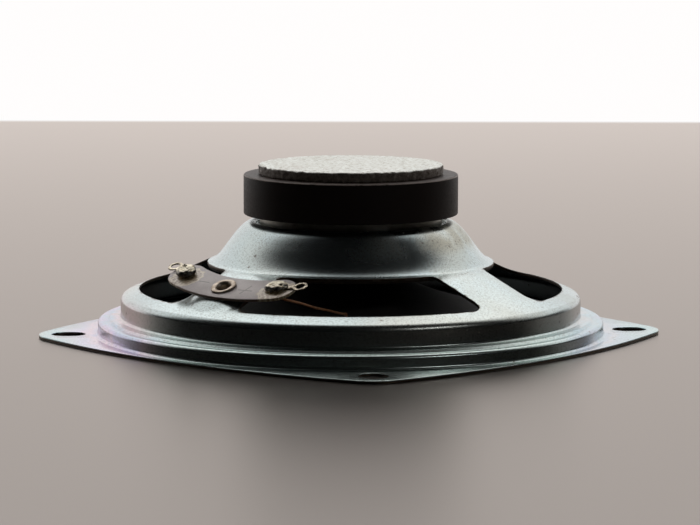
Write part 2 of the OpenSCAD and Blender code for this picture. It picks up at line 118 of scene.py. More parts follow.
def arc(centre, radius, start, end, steps=6):
    """Points on an arc, its angles in degrees."""
    return [Vector(polar(radius, start + (end - start) * i / steps, centre))
            for i in range(steps + 1)]


def circle(centre, radius, steps=48):
    return arc(centre, radius, 0, 360 - 360 / steps, steps - 1)


def cubic(points, t):
    a, b, c, d = (Vector(p) for p in points)
    return a * (1 - t) ** 3 + b * 3 * t * (1 - t) ** 2 + c * 3 * t * t * (1 - t) + d * t ** 3


def cubic_way(points, t):
    a, b, c, d = (Vector(p) for p in points)
    return ((b - a) * (1 - t) ** 2 + (c - b) * 2 * t * (1 - t) + (d - c) * t * t).normalized()


def curve(points, steps):
    return [cubic(points, i / steps) for i in range(steps + 1)]


def thinned(path):
    kept = [Vector(path[0])]
    for point in path[1:]:
        if (Vector(point) - kept[-1]).length > 0.02:
            kept.append(Vector(point))
    return kept


def beside(path, distance):
    """The path moved sideways, to the left of the way it runs."""
    moved = []
    for i, point in enumerate(path):
        before = (path[max(i, 1)] - path[max(i, 1) - 1]).normalized()
        after = (path[min(i, len(path) - 2) + 1] - path[min(i, len(path) - 2)]).normalized()
        left, right = Vector((-before.y, before.x)), Vector((-after.y, after.x))
        moved.append(point + (left + right) * distance / (1 + left.dot(right)))
    return moved


def sheet(path, thickness):
    path = thinned(path)
    return path + beside(path, thickness)[::-1]


def felt(path, thickness):
    path = thinned(path)
    return beside(path, -thickness / 2) + beside(path, thickness / 2)[::-1]


def turned(degrees, axis, size=4):
    return Matrix.Rotation(math.radians(degrees), size, axis)


# ---- pieces from bmesh operators ----

def spun(profile, steps, angle=360.0):
    """A closed profile of (radius, height) points turned about the Z axis."""
    shape = bmesh.new()
    ring = [shape.verts.new((p[0], 0, p[1])) for p in profile]
    edges = [shape.edges.new((a, b)) for a, b in zip(ring, ring[1:] + ring[:1])]
    whole = angle == 360.0
    if not whole:
        shape.faces.new(ring)
    geometry = ring + edges + list(shape.faces)
    bmesh.ops.spin(shape, geom=geometry, cent=(0, 0, 0), axis=(0, 0, 1),
                   angle=math.radians(angle), steps=steps, use_merge=whole)
    bmesh.ops.remove_doubles(shape, verts=shape.verts, dist=0.001)
    bmesh.ops.recalc_face_normals(shape, faces=shape.faces)
    return shape


def plate(outline, holes, thickness, z=0.0):
    """A flat plate with holes, from loops of (x, y) points."""
    shape = bmesh.new()
    edges = []
    for loop in [outline] + list(holes):
        verts = [shape.verts.new((p[0], p[1], z)) for p in loop]
        edges += [shape.edges.new(pair) for pair in zip(verts, verts[1:] + verts[:1])]
    bmesh.ops.triangle_fill(shape, edges=edges, use_beauty=True, normal=(0, 0, 1))
    grown = bmesh.ops.extrude_face_region(shape, geom=list(shape.faces))
    top = [v for v in grown["geom"] if isinstance(v, bmesh.types.BMVert)]
    bmesh.ops.translate(shape, verts=top, vec=(0, 0, thickness))
    bmesh.ops.recalc_face_normals(shape, faces=shape.faces)
    return shape


def ease_edges(shape, width, segments=2):
    """Rounds every edge that turns by more than 50 degrees."""
    sharp = [e for e in shape.edges
             if len(e.link_faces) == 2 and e.calc_face_angle() > math.radians(50.0)]
    bmesh.ops.bevel(shape, geom=sharp, offset=width, offset_type="OFFSET", affect="EDGES",
                    segments=segments, profile=0.5, material=-1, clamp_overlap=False)


def mesh_of(name, shape):
    """A mesh from a bmesh, which is freed."""
    mesh = bpy.data.meshes.new(name)
    shape.to_mesh(mesh)
    shape.free()
    return mesh


def in_scene(name, data):
    """A new object in the scene."""
    made = bpy.data.objects.new(name, data)
    bpy.context.scene.collection.objects.link(made)
    return made


def joined(shapes):
    """One bmesh from several, which are freed."""
    whole = bmesh.new()
    for shape in shapes:
        part = mesh_of("part", shape)
        whole.from_mesh(part)
        bpy.data.meshes.remove(part)
    return whole


def carved(body, tool, operation):
    """The exact boolean of two closed shapes, which are freed."""
    made = [in_scene("blank", mesh_of("blank", shape)) for shape in (body, tool)]
    step = made[0].modifiers.new("carve", "BOOLEAN")
    step.object, step.operation, step.solver = made[1], operation, "EXACT"
    graph = bpy.context.evaluated_depsgraph_get()
    result = bmesh.new()
    result.from_object(made[0], graph)
    for blank in made:
        mesh = blank.data
        bpy.data.objects.remove(blank)
        bpy.data.meshes.remove(mesh)
    return result


def crossings(line):
    """Two directions across the line at each of its points, without twist."""
    across = None
    for i in range(len(line)):
        way = (line[min(i + 1, len(line) - 1)] - line[max(i - 1, 0)]).normalized()
        if across is None:
            across = way.orthogonal().normalized()
        across = (across - way * across.dot(way)).normalized()
        yield across, way.cross(across)


def tube(points, radius, sides):
    """A round tube along points, closed at both ends."""
    shape = bmesh.new()
    rings = []
    for point, (across, up) in zip(points, crossings(points)):
        rings.append([shape.verts.new(point + (across * math.cos(a) + up * math.sin(a)) * radius)
                      for a in (k * math.tau / sides for k in range(sides))])
    loops = [[shape.edges.new(pair) for pair in zip(r, r[1:] + r[:1])] for r in rings]
    for one, two in zip(loops, loops[1:]):
        bmesh.ops.bridge_loops(shape, edges=one + two)
    for end in (rings[0], rings[-1]):
        shape.faces.new(end)
    bmesh.ops.recalc_face_normals(shape, faces=shape.faces)
    return shape


def uneven(shape, size, amount, seed, where=None):
    """Moves the surface in and out by a smooth noise."""
    shape.normal_update()
    for vert in shape.verts:
        share = 1.0 if where is None else where(vert.co)
        if share:
            spot = vert.co / size + Vector((seed, seed * 0.7, -seed))
            vert.co += vert.normal * noise.fractal(spot, 0.8, 2.0, 3) * amount * share


def make_piece(name, shape, finish, place, sharp):
    if place is not None:
        bmesh.ops.transform(shape, matrix=place, verts=shape.verts)
    bmesh.ops.scale(shape, vec=(MM, MM, MM), verts=shape.verts)
    mesh = mesh_of(name, shape)
    mesh.shade_smooth()
    mesh.set_sharp_from_angle(angle=math.radians(sharp))
    mesh.materials.append(finish)
    return in_scene(name, mesh)


def rigid_piece(name, shape, body, finish, nodes, place=None, sharp=34.0):
    piece = make_piece(name, shape, finish, place, sharp)
    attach(piece, body)
    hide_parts(*nodes)


def soft_piece(name, shape, finish, nodes, start, end, share=None):
    """A piece that runs from the frame at one end to the cone at the other; it is baked in place.
    """
    piece = make_piece(name, shape, finish, None, 60.0)
    [x * MM for x in start]
    [x * MM for x in end]
    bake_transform(piece)
    if share is not None:
        weights = [share(vert.co.xy.length / MM) for vert in piece.data.vertices]
    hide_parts(*nodes)


# ---- nodes ----

def fill(made, plugs):
    """Links a node's sockets, or gives them plain values."""
    for name, value in plugs.items():
        socket = made.inputs[name]
        if isinstance(value, bpy.types.NodeSocket):
            made.id_data.links.new(value, socket)
        elif socket.type == "RGBA":
            socket.default_value = (*value, 1.0)
        else:
            socket.default_value = value


def node(tree, kind, plugs=None, **settings):
    made = tree.nodes.new("ShaderNode" + kind)
    for name, value in settings.items():
        setattr(made, name, value)
    fill(made, plugs or {})
    return made


def calc(tree, operation, a, b=0.0, clamp=False):
    return node(tree, "Math", {0: a, 1: b}, operation=operation, use_clamp=clamp).outputs[0]


def times(tree, made, *others):
    for other in others:
        made = calc(tree, "MULTIPLY", made, other)
    return made


def largest(tree, made, *others):
    for other in others:
        made = calc(tree, "MAXIMUM", made, other)
    return made


def less(tree, a, b):
    return calc(tree, "SUBTRACT", a, b)


def dot(tree, a, b):
    return node(tree, "VectorMath", {0: a, 1: b}, operation="DOT_PRODUCT").outputs["Value"]


def parts_of(tree, vector):
    return node(tree, "SeparateXYZ", {"Vector": vector}).outputs


def facing_up(tree):
    """1 on a top, 0 on a wall and -1 on an underside."""
    return parts_of(tree, node(tree, "NewGeometry").outputs["Normal"])["Z"]


def between(tree, value, low, high, to_low=0.0, to_high=1.0):
    return node(tree, "MapRange", {"Value": value, "From Min": low, "From Max": high,
                                   "To Min": to_low, "To Max": to_high},
                interpolation_type="SMOOTHSTEP").outputs[0]


def mixed(tree, share, a, b):
    return node(tree, "Mix", {0: share, 6: a, 7: b}, data_type="RGBA").outputs[2]


def ramp(tree, value, *stops):
    made = node(tree, "ValToRGB", {"Fac": value})
    line = made.color_ramp
    while len(line.elements) < len(stops):
        line.elements.new(1.0)
    for element, (place, colour) in zip(line.elements, stops):
        element.position = place
        element.color = (*colour, 1.0)
    return made.outputs["Color"]


def cloud(tree, vector, scale, detail=3.0, rough=0.5, twist=0.0):
    return node(tree, "TexNoise", {"Vector": vector, "Scale": scale, "Detail": detail,
                                   "Roughness": rough, "Distortion": twist}).outputs["Fac"]


def group(name, inputs, output, kind, build):
    """A shader group with named sockets; build gets its inputs and returns its output."""
    tree = bpy.data.node_groups.new(name, "ShaderNodeTree")
    add = tree.interface.new_socket
    add(name="Vector", in_out="INPUT", socket_type="NodeSocketVector")
    for label, value in inputs.items():
        made = "Float" if isinstance(value, float) else "Vector"
        socket = add(name=label, in_out="INPUT", socket_type="NodeSocket" + made)
        socket.default_value = value
    add(name=output, in_out="OUTPUT", socket_type="NodeSocket" + kind)
    source = tree.nodes.new("NodeGroupInput")
    target = tree.nodes.new("NodeGroupOutput")
    tree.links.new(build(tree, source.outputs), target.inputs[output])
    return tree


def use(tree, made, plugs):
    """The output of a group, placed with its own values."""
    box = tree.nodes.new("ShaderNodeGroup")
    box.node_tree = made
    fill(box, plugs)
    return box.outputs[0]


def build_patches(tree, given):
    made = cloud(tree, given["Vector"], given["Scale"], 5.0, 0.6, 0.4)
    return between(tree, made, given["Low"], given["High"])


def build_specks(tree, given):
    cells = node(tree, "TexVoronoi", {"Vector": given["Vector"], "Scale": given["Scale"]})
    spot = between(tree, cells.outputs["Distance"], given["Size"], 0.0)
    tint = node(tree, "SeparateColor", {"Color": cells.outputs["Color"]}).outputs["Red"]
    return times(tree, spot, calc(tree, "LESS_THAN", tint, given["Share"]))


def build_weave(tree, given):
    parts = parts_of(tree, given["Vector"])
    turn_x, turn_y = (times(tree, parts[way], given["Threads"]) for way in "XY")
    over = times(tree, calc(tree, "SINE", turn_x), calc(tree, "SINE", turn_y))
    warp, weft = (calc(tree, "ABSOLUTE", calc(tree, "COSINE", turn)) for turn in (turn_x, turn_y))
    side = between(tree, over, -0.15, 0.15)
    return node(tree, "Mix", {0: side, 2: warp, 3: weft}).outputs[0]


def build_film(tree, given):
    """Tints of the thin passivated film on zinc, in bands round the axis."""
    parts = parts_of(tree, given["Vector"])
    flat = node(tree, "CombineXYZ", {"X": parts["X"], "Y": parts["Y"]})
    radius = node(tree, "VectorMath", {0: flat.outputs[0]}, operation="LENGTH").outputs["Value"]
    drift = cloud(tree, given["Vector"], given["Scale"], 3.0, 0.6, 0.6)
    drift = times(tree, less(tree, drift, 0.5), given["Drift"])
    band = times(tree, less(tree, radius, 0.058), 1 / 0.024)
    return ramp(tree, calc(tree, "ADD", band, drift),
                (0.00, (0.58, 0.55, 0.53)), (0.10, (0.66, 0.53, 0.57)),
                (0.21, (0.47, 0.55, 0.67)), (0.30, (0.57, 0.51, 0.68)),
                (0.38, (0.72, 0.57, 0.65)), (0.50, (0.62, 0.59, 0.72)),
                (0.66, (0.60, 0.63, 0.67)), (0.82, (0.52, 0.66, 0.68)),
                (1.00, (0.60, 0.62, 0.59)))


def build_wear(tree, given):
    """Bare or rubbed edges, broken up by noise."""
    point = node(tree, "NewGeometry").outputs["Pointiness"]
    edge = between(tree, point, given["From"], given["To"])
    broken = between(tree, cloud(tree, given["Vector"], given["Scale"], 4.0), 0.35, 0.6)
    return times(tree, edge, broken)


def build_stroke(tree, given):
    """A short stamped line: 1 inside, 0 outside."""
    moved = node(tree, "VectorMath", {0: given["Vector"], 1: given["Centre"]},
                 operation="SUBTRACT").outputs[0]
    level = node(tree, "VectorRotate", {"Vector": moved, "Angle": given["Turn"]},
                 rotation_type="Z_AXIS").outputs[0]
    parts = parts_of(tree, level)
    along, across = (calc(tree, "ABSOLUTE", parts[way]) for way in "XY")
    inside = between(tree, along, given["Length"], less(tree, given["Length"], 0.2))
    line = between(tree, across, given["Width"], times(tree, given["Width"], 0.3))
    return times(tree, inside, line)


PATCHES = group("patches", {"Scale": 20.0, "Low": 0.4, "High": 0.6}, "Mask", "Float",
                build_patches)
SPECKS = group("specks", {"Scale": 300.0, "Size": 0.4, "Share": 0.2}, "Mask", "Float",
               build_specks)
WEAVE = group("weave", {"Threads": 4000.0}, "Height", "Float", build_weave)
FILM = group("zinc_film", {"Scale": 40.0, "Drift": 0.5}, "Color", "Color", build_film)
WEAR = group("edge_wear", {"Scale": 900.0, "From": 0.52, "To": 0.6}, "Mask", "Float",
             build_wear)
STROKE = group("stroke", {"Centre": (0.0, 0.0, 0.0), "Turn": 0.0, "Length": 2.0, "Width": 0.3},
               "Mask", "Float", build_stroke)


def patches(tree, place, scale, low, high):
    return use(tree, PATCHES, {"Vector": place, "Scale": scale, "Low": low, "High": high})


def specks(tree, place, scale, size, share):
    return use(tree, SPECKS, {"Vector": place, "Scale": scale, "Size": size, "Share": share})


def bump(tree, height, strength, distance):
    return node(tree, "Bump", {"Height": height, "Strength": strength,
                               "Distance": distance}).outputs["Normal"]


def material(name, build, *values):
    """A new material; build returns what its shader is given."""
    made = bpy.data.materials.new(name)
    made.use_nodes = True
    tree = made.node_tree
    place = node(tree, "TexCoord").outputs["Object"]
    fill(tree.nodes["Principled BSDF"], build(tree, place, *values))
    return made


# ---- finishes ----

def zinc_steel(tree, place):
    at = parts_of(tree, place)
    x, z = at["X"], at["Z"]
    above_ring = between(tree, z, 0.008, 0.011)
    tone = ramp(tree, cloud(tree, place, 12.0, 2.0, 0.5, 0.6),
                (0.30, (0.49, 0.585, 0.61)), (0.50, (0.52, 0.60, 0.60)),
                (0.62, (0.58, 0.61, 0.57)), (0.72, (0.62, 0.60, 0.58)))
    colour = mixed(tree, between(tree, z, 0.0085, 0.004, 0.0, 0.7), tone, (0.60, 0.73, 0.70))
    # tints of the film round the foot, greener on the right
    film = use(tree, FILM, {"Vector": place, "Scale": 60.0, "Drift": 0.55})
    film = mixed(tree, between(tree, x, 0.0, 0.05, 0.0, 0.45), film, (0.42, 0.63, 0.62))
    outward = largest(tree, calc(tree, "ABSOLUTE", x), at["Y"])
    tinted = times(tree, between(tree, z, 0.0125, 0.0085), between(tree, outward, 0.046, 0.058))
    colour = mixed(tree, tinted, colour, film)
    # dusty, mottled patches, mostly on the side away from the board
    dusty = times(tree, patches(tree, place, 70.0, 0.40, 0.60), above_ring,
                  between(tree, x, -0.012, 0.03, 0.12, 1.0),
                  between(tree, z, 0.0225, 0.026, 0.22, 1.0))
    colour = mixed(tree, times(tree, dusty, 0.6), colour, (0.62, 0.56, 0.41))
    fine = cloud(tree, place, 2300.0, 2.0, 0.7)
    colour = mixed(tree, between(tree, fine, 0.48, 0.64, 0.0, 0.6), colour, (0.30, 0.31, 0.29))
    # dirt: specks in clusters, crumbs in the dust and scuffed edges
    clusters = times(tree, specks(tree, place, 620.0, 0.36, 0.16),
                     patches(tree, place, 45.0, 0.50, 0.60))
    crumbs = times(tree, specks(tree, place, 950.0, 0.45, 0.3), dusty)
    edge = use(tree, WEAR, {"Vector": place, "Scale": 420.0, "From": 0.506, "To": 0.53})
    scuffs = times(tree, edge, above_ring, patches(tree, place, 420.0, 0.42, 0.56))
    dirt = largest(tree, clusters, crumbs, scuffs)
    colour = mixed(tree, times(tree, dirt, 0.85), colour, (0.15, 0.10, 0.055))
    # cut walls of the blank in the windows are bare steel; round the flange the lower part of the
    # wall, next to the table, is darkened as bare steel and as painted shade where the flange
    # meets the table
    cut = between(tree, calc(tree, "ABSOLUTE", facing_up(tree)), 0.5, 0.25)
    windows = times(tree, between(tree, z, 0.0108, 0.0114), between(tree, z, 0.0205, 0.0198))
    cut = times(tree, cut, largest(tree, windows, between(tree, z, 0.0006, 0.0004)))
    colour = mixed(tree, cut, colour, (0.10, 0.07, 0.048))
    rough = between(tree, cloud(tree, place, 60.0, 4.0), 0.3, 0.7, 0.23, 0.27)
    for mask, more in ((dusty, 0.15), (cut, 0.2)):
        rough = calc(tree, "ADD", rough, times(tree, mask, more), clamp=True)
    metal = between(tree, largest(tree, dirt, times(tree, dusty, 0.4)), 0.0, 1.0, 1.0, 0.25)
    return {"Base Color": colour, "Roughness": rough, "Metallic": metal,
            "Normal": bump(tree, fine, 0.5, 0.00002)}


def plate_steel(tree, place):
    tone = cloud(tree, place, 160.0, 4.0)
    colour = ramp(tree, tone, (0.3, (0.36, 0.34, 0.29)), (0.7, (0.58, 0.57, 0.52)))
    return {"Base Color": colour, "Metallic": 0.85,
            "Roughness": between(tree, tone, 0.3, 0.7, 0.5, 0.38),
            "Normal": bump(tree, cloud(tree, place, 1500.0), 0.3, 0.00005)}


def cast_plate(tree, place):
    """The back plate: pitted plating over a coarse face, painted whitish on top as lit and dark
    brown on its wall as shade.
    """
    pits = cloud(tree, place, 900.0, 5.0, 0.7, 0.5)
    broad = patches(tree, place, 90.0, 0.52, 0.7)
    # painted light and shade: faces that look up get the whitish lit colour and more metal; the
    # wall gets the dark brown shaded colour, which also stands in for the reflection of the
    # magnet's top
    top = between(tree, facing_up(tree), 0.25, 0.8)
    pale = ramp(tree, pits, (0.30, (0.42, 0.37, 0.29)), (0.42, (0.80, 0.79, 0.72)),
                (0.55, (0.95, 0.97, 0.92)), (0.8, (0.98, 0.98, 0.94)))
    pale = mixed(tree, times(tree, broad, 0.3), pale, (0.62, 0.56, 0.48))
    side = ramp(tree, pits, (0.40, (0.16, 0.13, 0.11)), (0.6, (0.34, 0.29, 0.25)),
                (0.74, (0.6, 0.57, 0.5)))
    return {"Base Color": mixed(tree, top, side, pale),
            "Metallic": between(tree, top, 0.0, 1.0, 0.1, 0.85),
            "Roughness": between(tree, pits, 0.3, 0.7, 0.75, 0.45),
            "Normal": bump(tree, pits, 0.7, 0.00022)}


def ferrite(tree, place):
    """Black and dusty on top, with a painted highlight, a broken pale line, round its upper edge.
    """
    facing = facing_up(tree)
    dust = times(tree, between(tree, facing, 0.3, 0.9),
                 between(tree, patches(tree, place, 240.0, 0.3, 0.7), 0.0, 1.0, 0.55, 1.0))
    colour = mixed(tree, dust, (0.030, 0.022, 0.020), (0.13, 0.10, 0.085))
    # painted highlight: the upper rounded edge is paler, broken into patches
    edge_highlight = times(tree, between(tree, facing, 0.12, 0.3), between(tree, facing, 0.95, 0.8),
                patches(tree, place, 300.0, 0.25, 0.5))
    colour = mixed(tree, edge_highlight, colour, (0.42, 0.35, 0.31))
    fine = cloud(tree, place, 1800.0, 4.0, 0.6)
    return {"Base Color": colour, "Specular IOR Level": 0.16,
            "Roughness": between(tree, fine, 0.3, 0.7, 0.42, 0.56),
            "Normal": bump(tree, fine, 0.25, 0.00003)}


def fibre_board(tree, _):
    flat = node(tree, "UVMap", uv_map="board").outputs["UV"]
    streaks = node(tree, "Mapping", {"Vector": flat, "Scale": (0.9, 7.0, 1.0)}).outputs[0]
    fibres = cloud(tree, streaks, 1.6, 6.0, 0.65, 0.3)
    colour = ramp(tree, fibres, (0.30, (0.42, 0.355, 0.355)), (0.5, (0.56, 0.50, 0.50)),
                  (0.72, (0.66, 0.60, 0.595)))
    blotch = between(tree, cloud(tree, flat, 0.35, 3.0), 0.35, 0.7, 0.0, 0.35)
    colour = mixed(tree, blotch, colour, (0.42, 0.36, 0.365))
    cut = between(tree, calc(tree, "ABSOLUTE", facing_up(tree)), 0.75, 0.45)
    colour = mixed(tree, cut, colour, (0.27, 0.155, 0.10))
    # flux that ran from the two mounds of solder, and its pale edge
    wander = times(tree, less(tree, cloud(tree, flat, 0.7, 4.0), 0.5), 2.3)
    pools, edges = [], []
    for centre, reach in (((-13.9, 1.6, 0.0), 4.5), ((16.0, 1.6, 0.0), 5.0)):
        gap = node(tree, "VectorMath", {0: flat, 1: centre}, operation="DISTANCE").outputs["Value"]
        gap = calc(tree, "ADD", gap, wander)
        pools.append(between(tree, gap, reach + 0.25, reach - 0.25))
        edges.append(between(tree, calc(tree, "ABSOLUTE", less(tree, gap, reach - 0.3)),
                             0.45, 0.05))
    flux = largest(tree, *pools)
    resin = ramp(tree, cloud(tree, flat, 1.3, 4.0), (0.34, (0.36, 0.22, 0.09)),
                 (0.5, (0.62, 0.47, 0.27)), (0.62, (0.90, 0.80, 0.58)))
    colour = mixed(tree, times(tree, flux, 0.95), colour, resin)
    colour = mixed(tree, times(tree, largest(tree, *edges), 0.8), colour, (0.93, 0.82, 0.60))
    # the stamped minus and plus: middle, turn and half length of each stroke
    strokes = (((-7.3, 0.91, 0.0), -0.01, 1.8), ((6.93, 0.42, 0.0), -1.437, 2.25),
               ((6.94, 0.08, 0.0), -0.097, 2.25))
    ink = largest(tree, *(use(tree, STROKE, {"Vector": flat, "Centre": centre, "Turn": turn,
                                             "Length": length, "Width": 0.27})
                          for centre, turn, length in strokes))
    colour = mixed(tree, times(tree, ink, 0.75), colour, (0.08, 0.06, 0.06))
    return {"Base Color": colour, "Roughness": between(tree, flux, 0.0, 1.0, 0.42, 0.3),
            "Specular IOR Level": 1.0, "IOR": 1.85, "Specular Tint": (1.0, 0.93, 0.88),
            "Normal": bump(tree, less(tree, fibres, times(tree, ink, 1.2)), 0.5, 0.00008)}


def tinned(tree, place, colour_low, colour_high, rough):
    tone = cloud(tree, place, 700.0, 4.0, 0.6)
    spots = times(tree, specks(tree, place, 1500.0, 0.4, 0.2), 0.5)
    colour = ramp(tree, tone, (0.35, colour_low), (0.65, colour_high))
    colour = mixed(tree, spots, colour, (0.16, 0.11, 0.06))
    return {"Base Color": colour, "Metallic": 1.0,
            "Roughness": between(tree, tone, 0.3, 0.7, rough + 0.1, rough - 0.06),
            "Normal": bump(tree, tone, 0.5, 0.00012)}


def solder(tree, place):
    tone = cloud(tree, place, 900.0, 6.0, 0.7)
    # painted light: faces that look up get the cream lit colour, the rest the dark shaded colour
    lit_top = between(tree, facing_up(tree), 0.45, 0.8)
    cream = ramp(tree, tone, (0.36, (0.40, 0.29, 0.15)), (0.5, (0.92, 0.85, 0.68)))
    shaded_side = ramp(tree, tone, (0.40, (0.06, 0.055, 0.05)), (0.66, (0.36, 0.34, 0.29)))
    return {"Base Color": mixed(tree, lit_top, shaded_side, cream), "Metallic": 0.9,
            "Roughness": between(tree, tone, 0.3, 0.7, 0.5, 0.28),
            "Normal": bump(tree, tone, 0.8, 0.0003)}


def copper_braid(tree, place):
    tone = cloud(tree, place, 2600.0, 3.0)
    colour = ramp(tree, tone, (0.35, (0.86, 0.34, 0.15)), (0.65, (1.0, 0.60, 0.36)))
    return {"Base Color": colour, "Metallic": 0.15, "Roughness": 0.4,
            "Normal": bump(tree, tone, 0.5, 0.0001)}


def paper(tree, place, dark, light, rough=0.85):
    fibres = cloud(tree, place, 900.0, 6.0, 0.75, 1.2)
    broad = cloud(tree, place, 70.0, 3.0)
    colour = ramp(tree, fibres, (0.35, dark), (0.7, light))
    colour = mixed(tree, between(tree, broad, 0.4, 0.7, 0.0, 0.4), colour, dark)
    return {"Base Color": colour, "Roughness": rough, "Sheen Weight": 0.15,
            "Sheen Roughness": 0.5, "Normal": bump(tree, fibres, 0.6, 0.00018)}


def cloth(tree, place, dark, light, threads, rough):
    weave = use(tree, WEAVE, {"Vector": place, "Threads": threads})
    tone = cloud(tree, place, 120.0, 4.0)
    # painted shade: the cloth is darker in the grooves between its threads
    colour = ramp(tree, weave, (0.1, dark), (0.9, light))
    colour = mixed(tree, between(tree, tone, 0.35, 0.75, 0.0, 0.35), colour, dark)
    return {"Base Color": colour, "Roughness": rough,
            "Normal": bump(tree, weave, 0.7, 0.00012)}


def wound_wire(tree, place):
    turns = times(tree, parts_of(tree, place)["Z"], math.tau / (WIRE_PITCH * MM))
    turns = calc(tree, "SINE", turns)
    # painted shade: the wire is darker in the grooves between its turns
    colour = ramp(tree, between(tree, turns, -1.0, 1.0), (0.0, (0.20, 0.06, 0.02)),
                  (0.6, (0.60, 0.24, 0.09)))
    return {"Base Color": colour, "Metallic": 0.8, "Roughness": 0.3,
            "Normal": bump(tree, turns, 0.6, 0.00006)}


ZINC = material("zinc_steel", zinc_steel)
PLATE_STEEL = material("plate_steel", plate_steel)
CAST_PLATE = material("cast_plate", cast_plate)
FERRITE = material("ferrite", ferrite)
FIBRE = material("fibre_board", fibre_board)
TINNED = material("tinned_brass", tinned, (0.10, 0.075, 0.05), (0.72, 0.64, 0.50), 0.26)
EYELET = material("dull_eyelet", tinned, (0.36, 0.29, 0.22), (0.62, 0.54, 0.45), 0.42)
SOLDER = material("solder", solder)
BRAID = material("copper_braid", copper_braid)
CONE_PAPER = material("cone_paper", paper, (0.012, 0.011, 0.010), (0.040, 0.036, 0.032))
CAP_PAPER = material("cap_paper", paper, (0.010, 0.009, 0.009), (0.030, 0.028, 0.026), 0.7)
KRAFT = material("kraft_paper", paper, (0.30, 0.17, 0.08), (0.46, 0.29, 0.15), 0.7)
GASKET_CARD = material("gasket_card", paper, (0.20, 0.17, 0.13), (0.36, 0.32, 0.26), 0.9)
DOPED_CLOTH = material("doped_cloth", cloth, (0.008, 0.008, 0.007), (0.035, 0.033, 0.030),
                       7000.0, 0.5)
SPIDER_CLOTH = material("spider_cloth", cloth, (0.020, 0.014, 0.009), (0.065, 0.045, 0.026),
                        5200.0, 0.8)
WIRE = material("wound_wire", wound_wire)
BRASS = material("eyelet_brass", tinned, (0.50, 0.34, 0.12), (0.72, 0.54, 0.26), 0.32)


# ---- basket ----

def basket_profile():
    """Back face of the pressed sheet, from the flange to the throat."""
    foot, ring_round, rim_round, rim_foot = 0.9, 1.0, 2.0, 0.8
    bead_round, seat_round = 0.85, 0.3
    bead_top = SEAT_Z + 1.15
    bead_r = PLATE_R + 0.95 + bead_round
    slope = math.radians(ARM_SLOPE)
    arm_out = Vector((math.sin(slope), math.cos(slope)))
    rim_top = (Vector((SHELF_R, SHELF_Z)).dot(arm_out) - rim_round
               - (RIM_R - rim_round) * arm_out.x) / arm_out.y
    waist = Vector((bead_r + 5.5, bead_top - (bead_top - SHELF_Z) * 0.43))
    way = Vector((3.9, -5.0)).normalized()
    top = [(bead_r, bead_top), (bead_r + 2.1, bead_top - 0.15), waist - way * 2.9, waist]
    foot_of = [waist, waist + way * 2.6, (SHELF_R - 3.6, SHELF_Z + 0.6),
               (SHELF_R - 1.3, SHELF_Z)]
    return ([Vector((RING_R + foot + 0.3, STEEL))]
            + arc((RING_R + foot, STEEL + foot), foot, 270, 180)
            + arc((RING_R - ring_round, RING_Z - ring_round), ring_round, 0, 90)
            + [Vector((LEDGE_R + 0.3, RING_Z)), Vector((LEDGE_R - 0.3, LEDGE_Z))]
            + arc((RIM_R + rim_foot, LEDGE_Z + rim_foot), rim_foot, 270, 180)
            + arc((RIM_R - rim_round, rim_top), rim_round, 0, 90 - ARM_SLOPE, 10)
            + curve([(RIM_R - rim_round + rim_round * arm_out.x, rim_top + rim_round * arm_out.y),
                     (52.0, SHELF_Z - (52.0 - SHELF_R) * math.tan(slope)),
                     (45.0, SHELF_Z - (45.0 - SHELF_R) * math.tan(slope)),
                     (SHELF_R, SHELF_Z)], 6)[1:]
            + curve(foot_of, 14)[::-1]
            + curve(top, 14)[::-1]
            + arc((bead_r, bead_top - bead_round), bead_round, 90, 180, 8)
            + arc((bead_r - bead_round - seat_round, SEAT_Z + seat_round), seat_round, 0, -90, 4)
            + [Vector((THROAT_R, SEAT_Z))])


def flange_outline():
    ear = EAR_R - EAR_ROUND
    core = SIDE_R - EAR_ROUND
    back = (ear * ear - core * core) / (2 * core - math.sqrt(2) * ear)
    bend = back + SIDE_R
    turn = 45 - math.degrees(math.asin(ear * math.sin(math.radians(45)) / (bend - EAR_ROUND)))
    points = []
    for a in QUARTERS:
        points += arc(polar(ear, a), EAR_ROUND, a - turn, a + turn, 16)
        points += arc(polar(-back, a + 45), bend, a + turn, a + 90 - turn, 30)
    return thinned(points)


def slot_outline(angle):
    half = (SLOT_L - SLOT_W) / 2
    points = (arc((SLOT_R + half, 0), SLOT_W / 2, -90, 90, 14)
              + arc((SLOT_R - half, 0), SLOT_W / 2, 90, 270, 14))
    turn = Matrix.Rotation(math.radians(angle), 2)
    return [turn @ p for p in points]


def window_outline(angle):
    half, f = ARM_W / 2, WINDOW_ROUND
    deep = half + f
    far = math.sqrt((WINDOW_OUT_R - f) ** 2 - deep * deep)
    near = math.sqrt((WINDOW_IN_R + f) ** 2 - deep * deep)
    tilt_far = math.degrees(math.atan2(deep, far))
    tilt_near = math.degrees(math.atan2(deep, near))
    edge = (arc((near, deep), f, tilt_near + 180, 270, 7)
            + arc((far, deep), f, 270, tilt_far + 360, 7))
    below = [Matrix.Rotation(math.radians(-45), 2) @ p for p in edge]
    above = [Vector((p.x, -p.y)) for p in below][::-1]
    points = (below + arc((0, 0), WINDOW_OUT_R, -(45 - tilt_far), 45 - tilt_far, 24)
              + above + arc((0, 0), WINDOW_IN_R, 45 - tilt_near, -(45 - tilt_near), 20))
    turn = Matrix.Rotation(math.radians(angle), 2)
    points = [turn @ p for p in thinned(points)]
    return points[:-1] if (points[0] - points[-1]).length < 0.02 else points


def arm_height(r):
    slope = math.radians(ARM_SLOPE)
    return SHELF_Z - (r - SHELF_R) * math.tan(slope)


ON_ARM = (turned(BOARD_AZ - 270, "Z")
          @ Matrix.Translation((0, -BOARD_AT_R, arm_height(BOARD_AT_R)))
          @ turned(ARM_SLOPE, "X") @ turned(BOARD_LEAN, "Y"))


def at_lug(side):
    return (Matrix.Translation((0, BOARD_BEND_R, 0)) @ turned(side * BOARD_HALF, "Z")
            @ Matrix.Translation((0, -BOARD_BEND_R, 0)))


